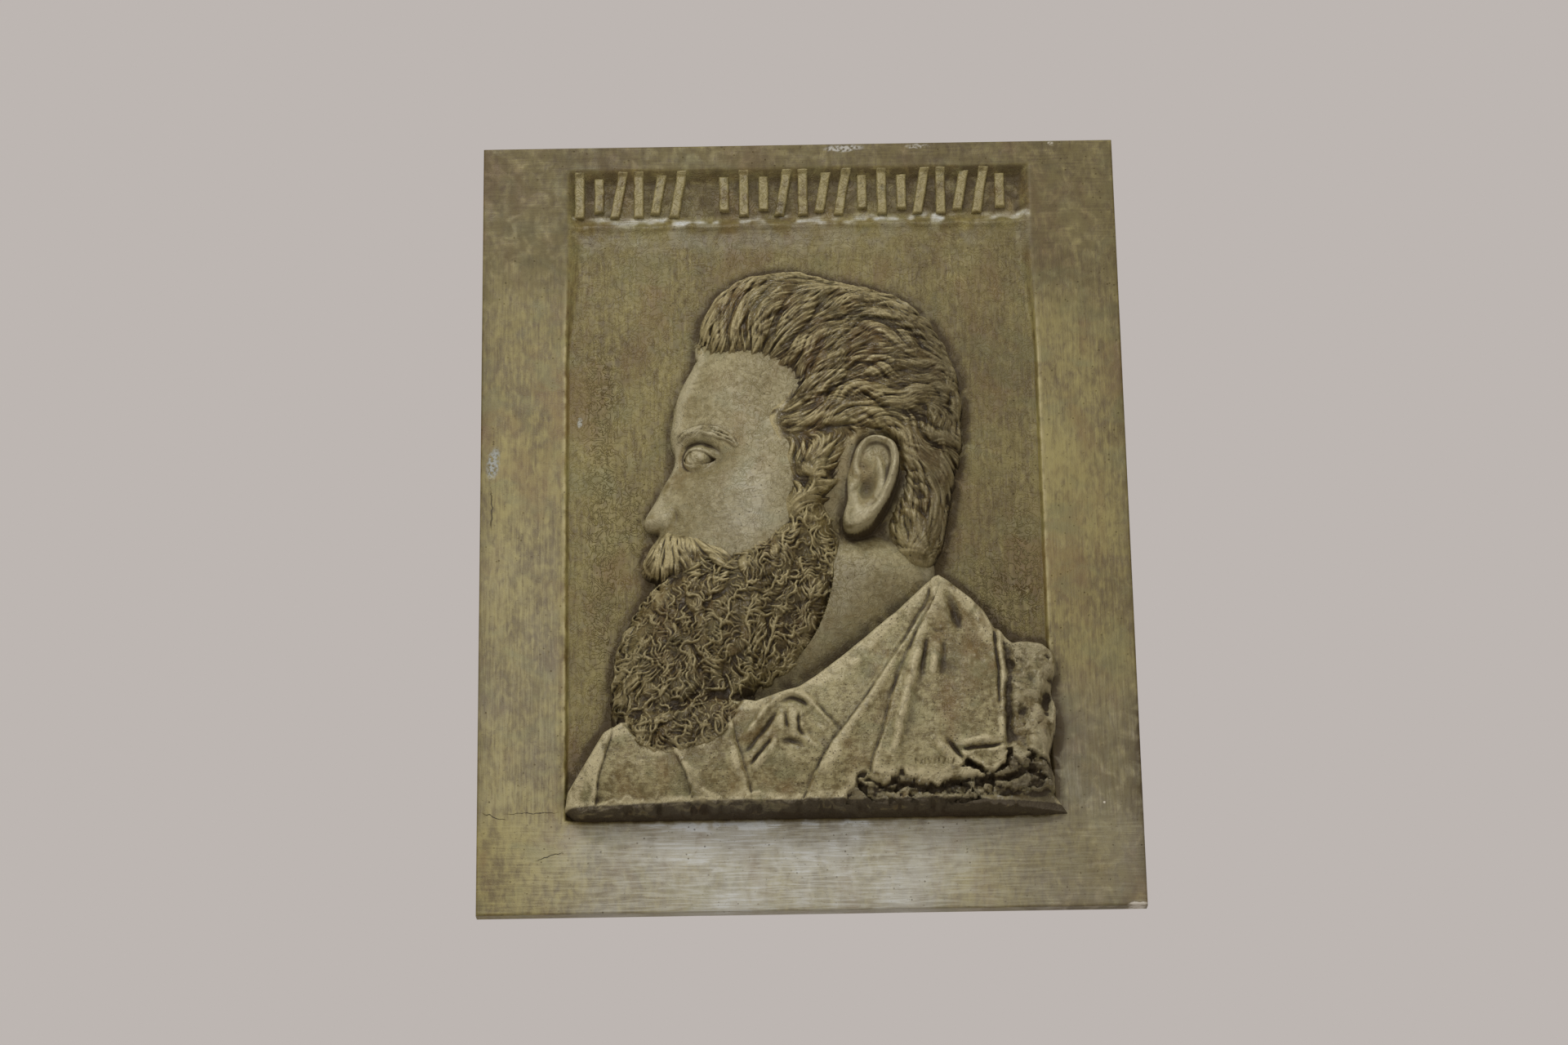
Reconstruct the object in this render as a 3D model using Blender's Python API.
"""Portrait bas-relief: one cast plaster wall plaque, painted like bronze.

A flat slab has a raised border, a sunk field and an inscription band. On the field stands a bearded
head in left profile, on a bust in a coat that is cut off straight below. The front is one height
field over the slab: each form gives its height above the back, and the highest form shows.
The origin is the centre of the flat back. The front faces -Y, +Z is up, and all sizes are metres.
"""
import math

import bpy
import numpy as np

# Slab
SLAB_WIDTH = 0.480
SLAB_HEIGHT = 0.600
SLAB_THICKNESS = 0.012
EDGE_RADIUS = 0.0015

# Sunk field and its borders
SIDE_BORDER = 0.063
TOP_BORDER = 0.018
BOTTOM_BORDER = 0.068
FIELD_SINK = 0.004
PANEL_SLOPE = 0.004

# Inscription band: raised strokes in a deeper recess, with a raised sill below them
BAND_HEIGHT = 0.042
BAND_SINK = 0.006
SILL_HEIGHT = 0.008
SILL_RISE = 0.002
STROKE_HEIGHT = 0.036
STROKE_WIDTH = 0.0062
STROKE_PITCH = 0.0150
STROKE_RISE = 0.0035
STROKE_SLOPE = 0.0010
STROKE_MARGIN = 0.004
WORD_GAP = 0.020
SHORT_WORD_STROKES = 6
STROKE_LEANS = (0.0, 0.0, 10.0, 0.0, 10.0, 10.0, 0.0)
STROKE_SHARES = (1.0, 0.75, 1.0, 1.0, 0.85, 1.0, 0.75)

# Figure: its carving is given in shares of its height and of its relief above the border
FIGURE_HEIGHT = 0.427
FIGURE_RELIEF = 0.047
FIGURE_HEIGHT_SHARES = 427.0
FIGURE_RELIEF_SHARES = 47.0
CARVING_LEVEL = 232.0
FIELD_BELOW_BORDER = 4.0
BASE_SLOPE = 6.4

# Levels of the head and neck: rounding of the outer edge, then a dome of this height and radius
HEAD_EDGE, HEAD_DOME, HEAD_RADIUS = 8.0, 24.0, 80.0
NECK_EDGE, NECK_DOME, NECK_RADIUS = 6.0, 16.0, 50.0
DOME_BLUR = 7.0
DIVE = 2.5
LOCKS_ON_CONTOUR = 0.6
HAIR_THICKNESS, HAIR_TAPER = 4.5, 14.0
BEARD_THICKNESS, BEARD_TAPER = 7.0, 16.0
BEARD_ON_CHEST, CHEST_BLUR = 3.0, 11.0
MOUSTACHE_THICKNESS, MOUSTACHE_TAPER = 5.0, 8.0

# Mesh
GRID_SPACING = 0.0020
TRIANGLE_BUDGET = 9200

# Outer contours in shares of the height, x to the right and z up from the carving level
HAIR_CONTOUR = [(-80, 122), (-79, 140), (-73, 158), (-60, 174), (-42, 187), (-26, 193), (-3, 193),
                (6, 187), (26, 183), (50, 177), (74, 168), (93, 152), (106, 131), (114, 108), (118, 84),
                (117, 58), (114, 32), (109, 8), (103, -18), (96, -38), (86, -47)]
NAPE_AND_JAW = [(72, -44), (58, -30), (42, -24), (29, -40)]
BEARD_CONTOUR = [(27, -66), (17, -96), (2, -118), (-18, -135), (-40, -147), (-52, -166), (-64, -180),
                 (-84, -187), (-104, -190), (-122, -182), (-137, -165), (-143, -145), (-141, -120),
                 (-136, -98), (-128, -80), (-118, -64)]
FACE_CONTOUR = [(-109, -53), (-118, -45), (-119, -35), (-112, -22), (-108, -15), (-115, -12), (-119, -7),
                (-117, 0), (-110, 12), (-103, 26), (-97, 38), (-96, 47), (-99, 58), (-97, 76), (-92, 97)]
HAIRLINE = [(-80, 122), (-56, 118), (-34, 115), (-18, 107), (-7, 95), (-11, 80), (-20, 68), (-18, 54),
            (-13, 40), (-9, 24), (-13, 8), (-8, -14), (12, -8), (22, 6), (28, 24), (32, 42), (44, 54),
            (60, 50), (70, 34), (69, 12), (60, -10), (63, -28), (74, -44)]
BEARD_EDGE = [(29, -40), (22, -10), (8, 8), (-12, 10), (-12, -4), (-18, -16), (-30, -27), (-46, -35),
              (-64, -37), (-80, -35), (-92, -42), (-104, -50)]
MOUSTACHE = [(-108, -15), (-98, -16), (-86, -22), (-74, -31), (-60, -44), (-50, -58), (-62, -62),
             (-78, -58), (-92, -50), (-108, -50), (-120, -50), (-123, -42), (-117, -28)]
NECK = [(14, -14), (84, -20), (94, -60), (70, -90), (30, -122), (-30, -150), (-70, -150), (-80, -100),
        (-40, -60)]
BUST = [(-166, -250), (-166, -234), (-177, -225), (-175, -212), (-166, -198), (-149, -171), (-128, -158),
        (-100, -152), (-60, -146), (-38, -150), (-22, -144), (-8, -140), (4, -132), (22, -118),
        (42, -101), (64, -82), (86, -60), (92, -55), (97, -53), (106, -59), (118, -70), (130, -81),
        (138, -95), (150, -105), (166, -110), (180, -119), (175, -140), (179, -162), (172, -186),
        (178, -206), (179, -222), (187, -232), (187, -250)]

# Swells and hollows of the face: x, z, radius along, radius across, turn in degrees, rise
FACE_SWELLS = [
    (-44, 8, 25, 15, -20, 2.4),       # cheekbone
    (-30, 74, 22, 24, 0, -2.6),       # temple
    (-88, 60, 13, 7, -4, 2.4),        # brow bone
    (-78, 95, 22, 18, 0, 1.5),        # forehead
    (-84, 41, 9, 10, 0, -6.0),        # eye socket
    (-66, 38, 14, 9, 0, -4.0),        # outer end of the socket
    (-96, 24, 7, 12, 20, -2.4),       # side of the bridge
    (-104, -6, 7.5, 7, 10, 3.8),      # wing of the nose
    (-108, -13, 5, 2.4, 12, -3.5),    # nostril
]
# Lines of the face: points, width, rise
FACE_LINES = [
    ([(-96, 56), (-86, 60), (-72, 59), (-60, 54), (-52, 46)], 4.6, 3.0),      # eyebrow
    ([(-99, 4), (-95, -1), (-94.5, -8), (-98, -14)], 2.4, -2.6),              # crease behind the wing
    ([(-89, 44), (-84, 48.5), (-76, 48.5), (-68, 44.5), (-61, 37)], 2.2, 2.2),   # upper lid
    ([(-87, 38), (-82, 33.5), (-72, 33), (-61, 36.5)], 2.0, 1.4),             # lower lid
    ([(-90, 49), (-82, 54), (-71, 53), (-58, 44)], 2.2, -1.8),                # fold above the lid
    ([(-95, -8), (-91, -16), (-88, -26)], 4.0, -1.2),                         # fold beside the nose
]
EYEBALL = (-76.5, 41.0, 11.5, 5.0)    # x, z, radius, level of its centre

# Ear, drawn upright about its own centre
EAR_CENTRE = (48, 14)
EAR_LEAN = -9.0
EAR_OUTLINE = [(-14, -14), (-15, -2), (-16, 9), (-14, 22), (-7, 32), (3, 35), (14, 31), (19, 21), (19, 8),
               (15, -7), (9, -19), (3, -29), (-5, -35), (-12, -32), (-14, -24)]
EAR_RIM = [(-7, 1), (-12, 6), (-13, 14), (-11, 23), (-5, 30), (3, 32), (12, 29), (16, 20), (16, 8),
           (13, -6), (7, -18)]
EAR_FOLD = [(-2, 24), (4, 16), (7, 8), (8, -2), (5, -11), (0, -16), (-6, -17)]

# Swells and hollows of the ear: x, z, radius along, radius across, rise
EAR_SWELLS = [(-1.5, -5, 7, 10, -5.0), (-13, -5, 4, 6, 4.0), (-4, -27, 9, 8, 3.4)]

# Locks: spacing, length, swing in radians, half width, rise and seed, then guide lines from root to tip
LOCK_STEPS = 12
LOCK_BLEND = 5.0
HAIR_LOCKS = (9, 42, 0.4, 5.0, 3.6, 3)
BEARD_LOCKS = (9, 26, 1.0, 4.2, 3.8, 5)
MOUSTACHE_LOCKS = (6, 24, 0.2, 3.0, 2.6, 7)
HAIR_GUIDES = [
    [(-78, 121), (-76, 142), (-66, 165), (-46, 182), (-22, 188)],
    [(-64, 120), (-60, 142), (-48, 164), (-26, 180), (0, 184)],
    [(-48, 120), (-43, 138), (-28, 160), (-4, 175), (25, 176)],
    [(-32, 116), (-20, 134), (2, 155), (28, 168), (55, 168)],
    [(-17, 108), (0, 124), (22, 142), (50, 156), (78, 152)],
    [(-5, 97), (10, 112), (32, 130), (62, 140), (90, 132)],
    [(-5, 82), (15, 95), (40, 110), (70, 114), (100, 102), (112, 88)],
    [(-12, 66), (10, 75), (35, 87), (62, 90), (88, 82), (110, 64)],
    [(-10, 56), (12, 60), (36, 68), (62, 68), (78, 58), (97, 46), (112, 34)],
    [(70, 46), (85, 33), (98, 18), (106, 0)],
    [(68, 24), (80, 10), (91, -6), (96, -24)],
    [(62, 0), (68, -15), (78, -30), (88, -44)],
    [(-4, 48), (-4, 30), (-4, 12), (-2, -4)],
    [(22, 50), (18, 36), (14, 20), (12, 2)],
]
BEARD_GUIDES = [
    [(5, 12), (0, -18), (-6, -48), (-14, -78), (-26, -108), (-42, -140)],
    [(20, -12), (22, -45), (14, -80), (0, -110), (-20, -134)],
    [(-30, -32), (-42, -60), (-54, -95), (-64, -130), (-72, -165), (-76, -184)],
    [(-62, -40), (-80, -68), (-92, -100), (-98, -135), (-102, -168), (-102, -188)],
    [(-100, -52), (-114, -76), (-124, -104), (-132, -135), (-132, -168)],
]
MOUSTACHE_GUIDES = [
    [(-108, -17), (-113, -28), (-118, -40), (-122, -50)],
    [(-101, -18), (-100, -30), (-99, -46)],
    [(-94, -20), (-80, -34), (-66, -48), (-54, -58)],
]

# Coat. Levels above the slab along the bust, as (x, level)
BUST_LEVELS = [(-178, 17), (-150, 26), (-105, 32), (-40, 36), (60, 38), (110, 36), (140, 31), (180, 24)]
# Hems, with the cloth on the left of the path higher: points, width, rise
HEM_EDGE = 0.8
COAT_HEMS = [
    ([(91, -64), (84, -86), (60, -123), (40, -152), (20, -180), (-8, -234)], 24, 4.2),  # lapel on the collar
    ([(96, -70), (88, -94), (74, -125), (62, -160), (48, -200), (42, -216)], 20, 4.0),  # lapel turned back
    ([(68, -220), (80, -176), (88, -136), (97, -102), (98, -94)], 16, 4.0),  # its outer edge
    ([(98, -54), (102, -74), (105, -100), (106, -130)], 14, 3.4),  # sleeve at the neck
    ([(-104, -186), (-93, -208), (-82, -236)], 18, 3.4),  # waistcoat edge
    ([(-44, -234), (-50, -204), (-57, -174)], 20, 3.8),  # waistcoat opening
    ([(-157, -236), (-152, -204), (-143, -174)], 14, 3.4),                                   # far lapel
    ([(30, -184), (15, -166), (2, -152), (-12, -146), (-25, -152), (-37, -169), (-52, -200)], 12, 4.4),
]
# Lines of the coat: points, width, rise
COAT_LINES = [
    ([(90, -60), (64, -82), (42, -101), (22, -118), (4, -132)], 3.0, 1.6),
    ([(88, -72), (80, -89), (57, -124), (37, -154), (17, -182), (-11, -234)], 1.7, -2.4),
    ([(92, -80), (84, -97), (70, -128), (58, -163), (44, -204)], 1.8, -2.4),
    ([(98, -102), (91, -137), (84, -176), (76, -204)], 1.8, -2.0),
    ([(96, -55), (114, -68), (130, -83), (137, -98), (138, -150), (138, -188)], 4.0, 3.4),
    ([(143, -98), (143.5, -150), (143, -192)], 3.0, -7.0),
    ([(100, -188), (112, -192), (126, -186), (139, -188)], 3.0, 3.4),
    ([(88, -184), (98, -196), (108, -204)], 3.2, 3.4),
    ([(-16, -164), (-30, -178), (-40, -196), (-46, -210)], 4.6, 5.0),
    ([(-2, -163), (8, -172), (20, -184), (22, -196)], 4.6, 5.0),
    ([(-22, -182), (-28, -194), (-34, -212)], 3.0, 2.6),
    ([(-13, -160), (-13, -182)], 1.8, -2.6),
    ([(-6, -160), (-4, -180)], 1.8, -2.4),
]
# Swells and hollows of the coat: x, z, radius along, radius across, turn in degrees, rise
COAT_SWELLS = [
    (-9, -171, 11, 14, 0, 5.0),        # knot of the tie
    (-10, -212, 22, 14, 0, -2.5),      # shirt below it
    (120, -125, 12, 34, 6, 2.0),       # sleeve
    (104, -160, 8, 36, 0, -1.6),       # hollow beside the lapel
    (-125, -205, 16, 26, 0, 1.8),      # far breast
]
BROKEN_BLOCK = [(141, -103), (152, -107), (166, -111), (180, -119), (175, -140), (179, -162), (172, -186),
                (178, -206), (177, -250), (141, -250)]
BROKEN_EDGE = [(28, -222), (40, -206), (52, -214), (66, -208), (84, -216), (104, -205), (120, -194),
               (141, -190), (176, -196), (176, -250), (28, -250)]

PLASTER_COLOUR = (0.178, 0.158, 0.084, 1.0)
PLASTER_ROUGHNESS = 0.45
PLASTER_METALLIC = 0.15


def curve(points, per_span=4, closed=False):
    """A smooth curve through the points: one Catmull-Rom cubic for each span."""
    p = np.asarray(points, float)
    after = [p[0], p[1]] if closed else [2 * p[-1] - p[-2]]
    p = np.vstack([p[-1] if closed else 2 * p[0] - p[1], p, *after])
    t = np.linspace(0, 1, per_span, endpoint=False)[:, None]
    spans = [b + (c - a) * t / 2 + (2 * a - 5 * b + 4 * c - d) * t**2 / 2 + (3 * (b - c) - a + d) * t**3 / 2
             for a, b, c, d in zip(p[:-3], p[1:-2], p[2:-1], p[3:])]
    return np.vstack(spans if closed else spans + [p[-2:-1]])


def ease(t):
    t = np.clip(t, 0, 1)
    return t * t * (3 - 2 * t)


def quarter_round(t):
    return np.sqrt(1 - (1 - np.clip(t, 0, 1)) ** 2)


def dome(t):
    return 1 - (1 - np.clip(t, 0, 1)) ** 2


def rounded_max(a, b, soft):
    """The higher of two levels, with a fillet of this softness where they meet."""
    share = np.clip(0.5 + 0.5 * (a - b) / soft, 0, 1)
    return b + (a - b) * share + soft * share * (1 - share)


def placed(points, centre, lean):
    c, s = math.cos(math.radians(lean)), math.sin(math.radians(lean))
    p = np.asarray(points, float)
    return np.c_[centre[0] + p[:, 0] * c - p[:, 1] * s, centre[1] + p[:, 0] * s + p[:, 1] * c]


class Canvas:
    """A grid of points over the front, and the distances and patterns that are drawn on it."""

    def __init__(self, xs, zs):
        self.xs, self.zs = xs, zs
        self.X, self.Z = np.meshgrid(xs, zs)

    def distance(self, path):
        """The distance to a path of straight segments, positive on the left of its way."""
        best = np.full(self.X.shape, np.inf)
        side = np.ones(self.X.shape)
        for (x0, z0), (x1, z1) in zip(path[:-1], path[1:]):
            dx, dz = x1 - x0, z1 - z0
            along, across = self.X - x0, self.Z - z0
            t = np.clip((along * dx + across * dz) / (dx * dx + dz * dz), 0, 1)
            away = (along - t * dx) ** 2 + (across - t * dz) ** 2
            side = np.where(away < best, np.sign(dx * across - dz * along), side)
            best = np.minimum(best, away)
        return np.sqrt(best) * np.where(side < 0, -1, 1)

    def inset(self, loop):
        """The distance to a closed outline, positive inside it and negative outside."""
        ring = np.vstack([loop, loop[:1]])
        inside = np.zeros(self.X.shape, bool)
        for (x0, z0), (x1, z1) in zip(ring[:-1], ring[1:]):
            if z0 != z1:
                crossing = x0 + (self.Z - z0) * (x1 - x0) / (z1 - z0)
                inside ^= ((z0 > self.Z) != (z1 > self.Z)) & (self.X < crossing)
        return np.where(inside, 1, -1) * abs(self.distance(ring))

    def line(self, path, width):
        """A bell-shaped line of height 1 along a path."""
        return np.exp(-(self.distance(curve(path)) / width) ** 2)

    def hem(self, path, width):
        """A step of height 1 on the left of a path, fading out over the width."""
        away = self.distance(curve(path))
        return np.where(away > 0, np.exp(-(away / width) ** 2), np.exp(-(away / HEM_EDGE) ** 2))

    def swell(self, x, z, along, across, turn):
        """A bell-shaped swell of height 1 with two radii, turned about its centre."""
        c, s = math.cos(math.radians(turn)), math.sin(math.radians(turn))
        u = ((self.X - x) * c + (self.Z - z) * s) / along
        v = ((self.Z - z) * c - (self.X - x) * s) / across
        return np.exp(-(u * u + v * v))

    def blurred(self, field, radius):
        """A field averaged over a bell-shaped neighbourhood."""
        for lines, axis in ((self.zs, 0), (self.xs, 1)):
            weight = np.exp(-((lines[:, None] - lines[None]) / radius) ** 2) * np.gradient(lines)[None]
            weight /= weight.sum(axis=1)[:, None]
            field = weight @ field if axis == 0 else field @ weight.T
        return field

    def rough(self, size, seed):
        """Smoothed random heights between -1 and 1 on a lattice with this spacing."""
        table = np.random.RandomState(seed).uniform(-1, 1, (64, 64))
        u, v = self.X / size, self.Z / size
        i, j = np.floor(u).astype(int), np.floor(v).astype(int)
        a, b = ease(u - i), ease(v - j)
        low = table[j % 64, i % 64] * (1 - a) + table[j % 64, (i + 1) % 64] * a
        high = table[(j + 1) % 64, i % 64] * (1 - a) + table[(j + 1) % 64, (i + 1) % 64] * a
        return low * (1 - b) + high * b

    def locks(self, outline, guides, size):
        """Rounded ridges along the paths of the locks, tapered at both ends, the highest one showing."""
        spacing, length, swing, half_width, rise, seed = size
        paths = lock_paths(outline, guides, spacing, length, swing, seed)
        lift = np.random.RandomState(seed + 1).uniform(0, 0.4 * rise, len(paths))
        taper = np.sin(np.linspace(0.1, 0.95, paths.shape[1]) * math.pi) ** 0.6
        height = np.zeros(self.X.shape)
        for path, extra in zip(paths, lift):
            (west, south), (east, north) = path.min(axis=0) - half_width, path.max(axis=0) + half_width
            rows = slice(*np.searchsorted(self.zs, [south, north]))
            columns = slice(*np.searchsorted(self.xs, [west, east]))
            x, z = self.X[rows, columns], self.Z[rows, columns]
            for start, end, near, far in zip(path[:-1], path[1:], taper[:-1], taper[1:]):
                dx, dz = end - start
                t = np.clip(((x - start[0]) * dx + (z - start[1]) * dz) / (dx * dx + dz * dz), 0, 1)
                away = (x - start[0] - t * dx) ** 2 + (z - start[1] - t * dz) ** 2
                size = near + t * (far - near)
                ridge = np.sqrt(np.clip(1 - away / (half_width * size) ** 2, 0, 1)) * (rise + extra) * size
                height[rows, columns] = np.maximum(height[rows, columns], ridge)
        return height


def lock_paths(outline, guides, spacing, length, swing, seed):
    """Paths of locks: roots on a jittered lattice inside the outline follow the nearest guides, swinging."""
    rng = np.random.RandomState(seed)
    low, high = outline.min(axis=0), outline.max(axis=0)
    lattice = Canvas(np.arange(low[0], high[0], spacing), np.arange(low[1], high[1], spacing))
    inside = lattice.inset(outline).ravel() > 0
    jitter = rng.uniform(-0.4, 0.4, (len(inside), 2)) * spacing
    roots = (np.c_[lattice.X.ravel(), lattice.Z.ravel()] + jitter)[inside]
    lines = [curve(g) for g in guides]
    middles = np.vstack([(line[1:] + line[:-1]) / 2 for line in lines])
    ways = np.vstack([np.diff(line, axis=0) for line in lines])
    ways /= np.linalg.norm(ways, axis=1)[:, None]
    phase = rng.uniform(0, 2 * math.pi, len(roots))
    path = [roots]
    for k in range(LOCK_STEPS):
        gap = ((path[-1][:, None, :] - middles[None]) ** 2).sum(axis=2)
        way = (1 / (gap + LOCK_BLEND**2) ** 2) @ ways
        angle = np.arctan2(way[:, 1], way[:, 0]) + swing * np.cos(2 * math.pi * k / LOCK_STEPS + phase)
        path.append(path[-1] + length / LOCK_STEPS * np.c_[np.cos(angle), np.sin(angle)])
    return np.stack(path, axis=1)


def slab_front(c):
    """Height of the border, field, band and inscription strokes above the back, in metres."""
    half_width, half_height = SLAB_WIDTH / 2, SLAB_HEIGHT / 2
    panel_top, panel_bottom = half_height - TOP_BORDER, BOTTOM_BORDER - half_height
    band_bottom = panel_top - BAND_HEIGHT
    inset = np.minimum(half_width - SIDE_BORDER - abs(c.X), np.minimum(panel_top - c.Z, c.Z - panel_bottom))
    height = SLAB_THICKNESS - FIELD_SINK * ease(inset / PANEL_SLOPE)
    sill = np.clip(1 - (band_bottom - c.Z) / SILL_HEIGHT, 0, 1) * (c.Z < band_bottom)
    height = height + SILL_RISE * sill * ease(inset / PANEL_SLOPE)
    in_band = np.minimum(inset, c.Z - band_bottom)
    height = np.where(in_band > 0, SLAB_THICKNESS - BAND_SINK * ease(in_band / PANEL_SLOPE), height)
    middle = band_bottom + BAND_HEIGHT / 2
    for x, lean, share in stroke_places():
        reach = (STROKE_HEIGHT * share - STROKE_WIDTH) / 2
        shift = reach * math.tan(math.radians(lean))
        away = abs(c.distance(np.array([(x - shift, middle - reach), (x + shift, middle + reach)])))
        stroke = STROKE_RISE * ease((STROKE_WIDTH / 2 - away) / STROKE_SLOPE)
        height = np.maximum(height, np.where(stroke > 0, SLAB_THICKNESS - BAND_SINK + stroke, 0))
    edge = np.minimum(half_width - abs(c.X), half_height - abs(c.Z))
    return height - EDGE_RADIUS * (1 - quarter_round(edge / EDGE_RADIUS))


def stroke_places():
    """The middle, lean and height share of each stroke: a short row, a gap and a long row."""
    room = SLAB_WIDTH / 2 - SIDE_BORDER - STROKE_MARGIN - STROKE_WIDTH
    places, x = [], -room
    while x <= room:
        kind = len(places) % len(STROKE_LEANS)
        places.append((x, STROKE_LEANS[kind], STROKE_SHARES[kind]))
        x += STROKE_PITCH + (WORD_GAP if len(places) == SHORT_WORD_STROKES else 0)
    return places


def face_levels(c, base):
    """Bare skin over the base of the head: swells and hollows, then the eyeball, then the lines."""
    skin = base
    for x, z, along, across, turn, rise in FACE_SWELLS:
        skin = skin + rise * c.swell(x, z, along, across, turn)
    x, z, radius, level = EYEBALL
    away = (c.X - x) ** 2 + (c.Z - z) ** 2
    ball = level + np.sqrt(np.clip(radius**2 - away, 0, None))
    skin = np.where(away < radius**2, np.maximum(skin, ball), skin)
    for points, width, rise in FACE_LINES:
        skin = skin + rise * c.line(points, width)
    return skin


def figure_levels(c):
    """Bust, neck, skin, hair, beard, moustache and ear above the border. The beard lies on the bust."""
    bust = bust_levels(c)
    hair_loop = curve(HAIR_CONTOUR + HAIRLINE[::-1], closed=True)
    beard_loop = curve(BEARD_EDGE[::-1] + BEARD_CONTOUR, closed=True)
    moustache_loop = curve(MOUSTACHE, closed=True)
    hair_locks = c.locks(hair_loop, HAIR_GUIDES, HAIR_LOCKS)
    beard_locks = c.locks(beard_loop, BEARD_GUIDES, BEARD_LOCKS)
    whiskers = c.locks(moustache_loop, MOUSTACHE_GUIDES, MOUSTACHE_LOCKS)
    hair_inset, beard_inset, lip_inset = c.inset(hair_loop), c.inset(beard_loop), c.inset(moustache_loop)
    contour = curve(HAIR_CONTOUR + NAPE_AND_JAW + BEARD_CONTOUR + FACE_CONTOUR, closed=True)
    inset = c.inset(contour)
    for loop_inset, ridges in ((hair_inset, hair_locks), (beard_inset, beard_locks)):
        inset = inset + LOCKS_ON_CONTOUR * ease(loop_inset / 4 + 0.5) * (ridges - 2)
    crown = c.blurred(HEAD_DOME * dome(inset / HEAD_RADIUS), DOME_BLUR)
    base = np.where(inset > 0, HEAD_EDGE * quarter_round(inset / HEAD_EDGE) + crown, DIVE * inset)
    base = base - FIELD_BELOW_BORDER
    chest = c.blurred(np.maximum(bust, -FIELD_BELOW_BORDER), CHEST_BLUR)
    beard = rounded_max(base + BEARD_THICKNESS * ease(beard_inset / BEARD_TAPER),
                        chest + BEARD_ON_CHEST * ease(beard_inset / BEARD_TAPER), 5) + beard_locks
    hair = base + HAIR_THICKNESS * ease(hair_inset / HAIR_TAPER) + hair_locks
    moustache = base + MOUSTACHE_THICKNESS * ease(lip_inset / MOUSTACHE_TAPER) + whiskers
    form = np.maximum(np.maximum(bust, neck_levels(c)), face_levels(c, base))
    form = np.where(beard_inset > 0, beard, form)
    form = np.where(hair_inset > 0, np.maximum(form, hair), form)
    form = np.where(lip_inset > 0, np.maximum(form, moustache), form)
    return with_ear(c, form)


def with_ear(c, form):
    """The ear: a plate with a raised rim, an inner fold, a hollow shell and a lobe, and a dip behind it."""
    inset = c.inset(curve(placed(EAR_OUTLINE, EAR_CENTRE, EAR_LEAN), closed=True))
    rim, fold = (placed(path, EAR_CENTRE, EAR_LEAN) for path in (EAR_RIM, EAR_FOLD))
    level = 30 + 0.14 * (c.X - EAR_CENTRE[0]) + 2.5 * quarter_round(inset / 3) - 3 * ease((inset - 3) / 4)
    level = level + 4.6 * c.line(rim, 3.0) + 4.0 * c.line(fold, 3.0)
    for x, z, along, across, rise in EAR_SWELLS:
        (x, z), = placed([(x, z)], EAR_CENTRE, EAR_LEAN)
        level = level + rise * c.swell(x, z, along, across, EAR_LEAN)
    behind = ease((c.X - EAR_CENTRE[0] + 12) / 8)
    form = form - 4 * np.exp(-(np.clip(-inset, 0, None) / 4) ** 2) * behind
    return np.where(inset > 0, level, form)


def neck_levels(c):
    inset = c.inset(curve(NECK, closed=True))
    level = NECK_EDGE * quarter_round(inset / NECK_EDGE) - FIELD_BELOW_BORDER
    level = level + c.blurred(NECK_DOME * dome(inset / NECK_RADIUS), DOME_BLUR)
    sinew = c.line([(62, -20), (45, -60), (18, -100), (-5, -130)], 11)
    return np.where(inset > 0, level + 2 * sinew, DIVE * inset)


def bust_levels(c):
    """The coat above the border, cut off along the base and broken at its lower right."""
    inset = c.inset(np.array(BUST, float))
    places, levels = np.array(BUST_LEVELS, float).T
    level = np.interp(c.X, places, levels) * (0.58 + 0.42 * ease((-50 - c.Z) / 120))
    for points, width, rise in COAT_HEMS:
        level = level + rise * c.hem(points, width)
    for points, width, rise in COAT_LINES:
        level = level + rise * c.line(points, width)
    for x, z, along, across, turn, rise in COAT_SWELLS:
        level = level + rise * c.swell(x, z, along, across, turn)
    crumble = c.rough(17, 21) + 0.6 * c.rough(8, 22)
    block = ease(c.inset(np.array(BROKEN_BLOCK, float)) / 4 + 0.5)
    broken = ease((c.inset(np.array(BROKEN_EDGE, float)) + 3 * c.rough(6, 24)) / 3 + 0.5)
    level = level + block * (3.4 * crumble - 2) - broken * (7 + 5 * crumble)
    level = level * quarter_round(inset / 5)
    above_base = c.Z + CARVING_LEVEL
    ragged = 1.2 * np.interp(c.X, c.xs, c.rough(9, 23)[0]) * (above_base > 2)
    return np.where(inset > 0, np.minimum(level, BASE_SLOPE * (above_base - ragged)), -9)


def front_height(xs, zs):
    """The height of the whole front above the back, in metres, over a grid in metres."""
    share = FIGURE_HEIGHT / FIGURE_HEIGHT_SHARES
    rise = FIGURE_RELIEF / FIGURE_RELIEF_SHARES
    base = BOTTOM_BORDER - SLAB_HEIGHT / 2
    c = Canvas(xs / share, (zs - base) / share - CARVING_LEVEL)
    return np.maximum(slab_front(Canvas(xs, zs)), SLAB_THICKNESS + rise * figure_levels(c))


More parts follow.
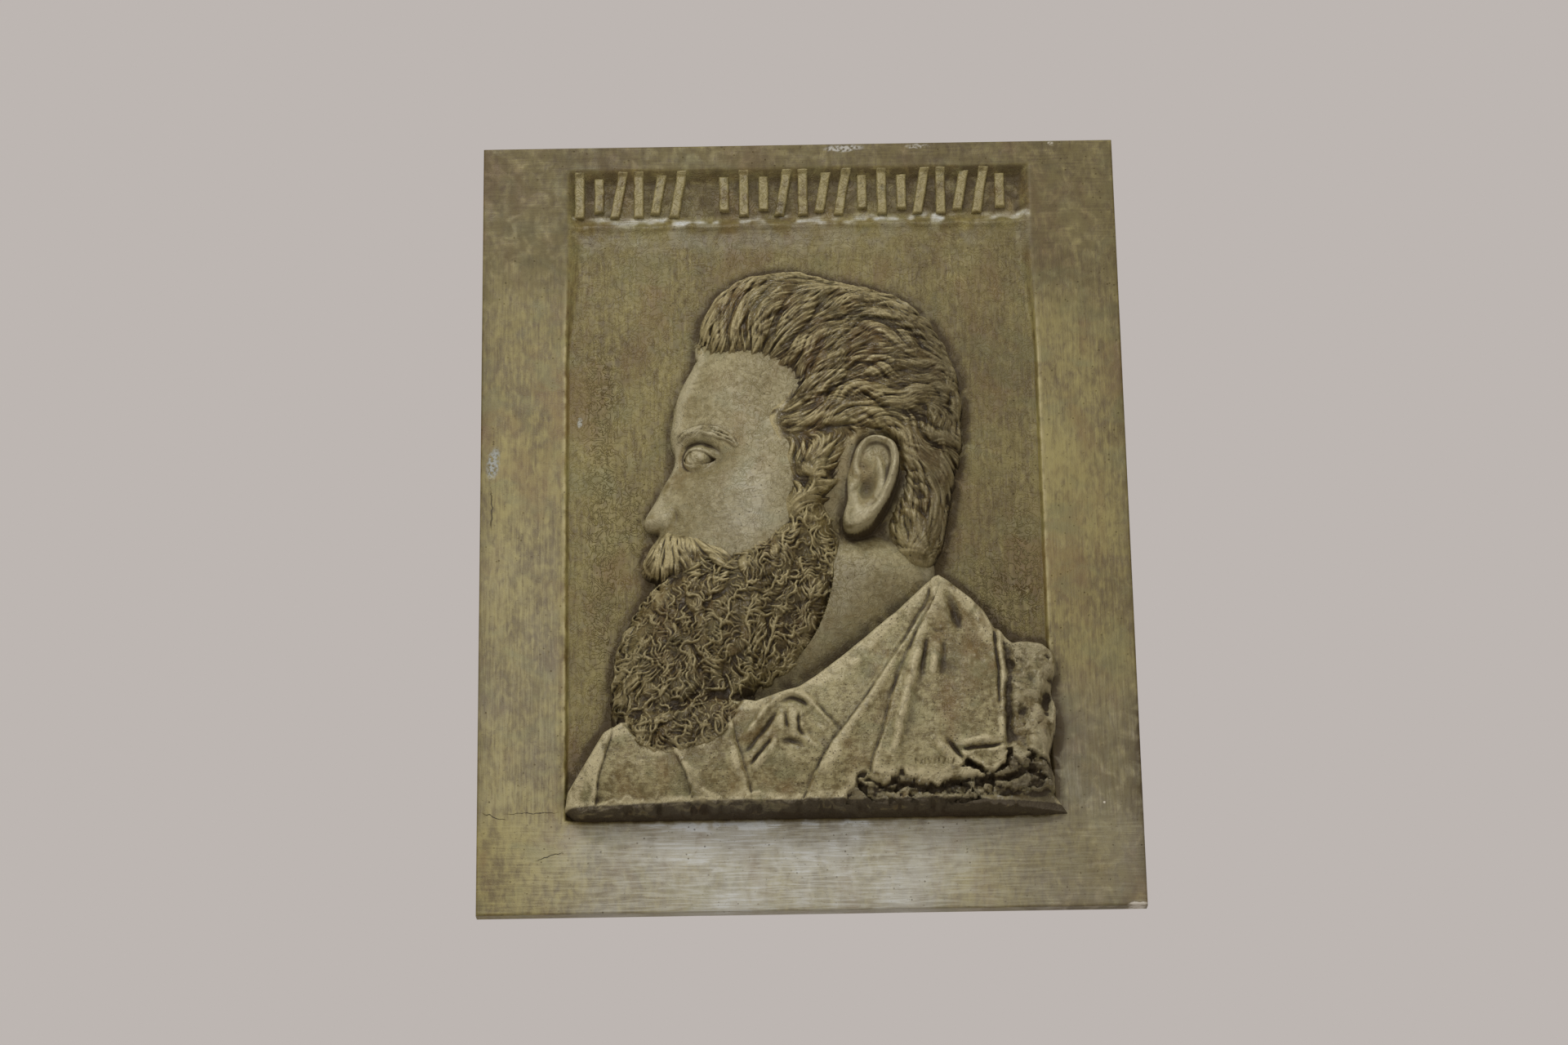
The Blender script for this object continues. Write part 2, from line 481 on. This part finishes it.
def grid_lines(length):
    """Evenly spaced lines across a side, with extra ones close to both edges for the rounding."""
    inner = np.linspace(-length / 2 + EDGE_RADIUS, length / 2 - EDGE_RADIUS, round(length / GRID_SPACING))
    return np.r_[-length / 2, -length / 2 + EDGE_RADIUS / 3, inner, length / 2 - EDGE_RADIUS / 3, length / 2]


def relief_mesh(name):
    """A closed solid: the height field in front, four flat sides and a flat back."""
    xs, zs = grid_lines(SLAB_WIDTH), grid_lines(SLAB_HEIGHT)
    X, Z = np.meshgrid(xs, zs)
    front = np.stack([X, -front_height(xs, zs), Z], axis=-1).reshape(-1, 3)
    index = np.arange(len(front)).reshape(X.shape)
    quads = np.stack([index[:-1, :-1], index[:-1, 1:], index[1:, 1:], index[1:, :-1]], axis=-1)
    corners = [(xs[0], 0, zs[0]), (xs[-1], 0, zs[0]), (xs[-1], 0, zs[-1]), (xs[0], 0, zs[-1])]
    back = [len(front) + k for k in range(4)]
    rims = [index[0, :], index[:, -1], index[-1, ::-1], index[::-1, 0]]
    sides = [[*rim[::-1].tolist(), back[k], back[(k + 1) % 4]] for k, rim in enumerate(rims)]
    mesh = bpy.data.meshes.new(name)
    mesh.from_pydata(front.tolist() + corners, [], quads.reshape(-1, 4).tolist() + sides + [back[::-1]])
    mesh.update()
    return mesh


def plaster():
    """Plaster sealed with an olive-brown bronze paint."""
    material = bpy.data.materials.new("bronze_painted_plaster")
    material.use_nodes = True
    shader = material.node_tree.nodes["Principled BSDF"]
    shader.inputs["Base Color"].default_value = PLASTER_COLOUR
    shader.inputs["Roughness"].default_value = PLASTER_ROUGHNESS
    shader.inputs["Metallic"].default_value = PLASTER_METALLIC
    return material


def build():
    for thing in list(bpy.data.objects):
        bpy.data.objects.remove(thing, do_unlink=True)
    mesh = relief_mesh("portrait_relief")
    mesh.materials.append(plaster())
    relief = bpy.data.objects.new("portrait_relief", mesh)
    bpy.context.scene.collection.objects.link(relief)
    facets = sum(len(face.vertices) - 2 for face in mesh.polygons)
    thinning = relief.modifiers.new("fewer_facets", "DECIMATE")
    thinning.ratio = min(1.0, TRIANGLE_BUDGET / facets)


build()
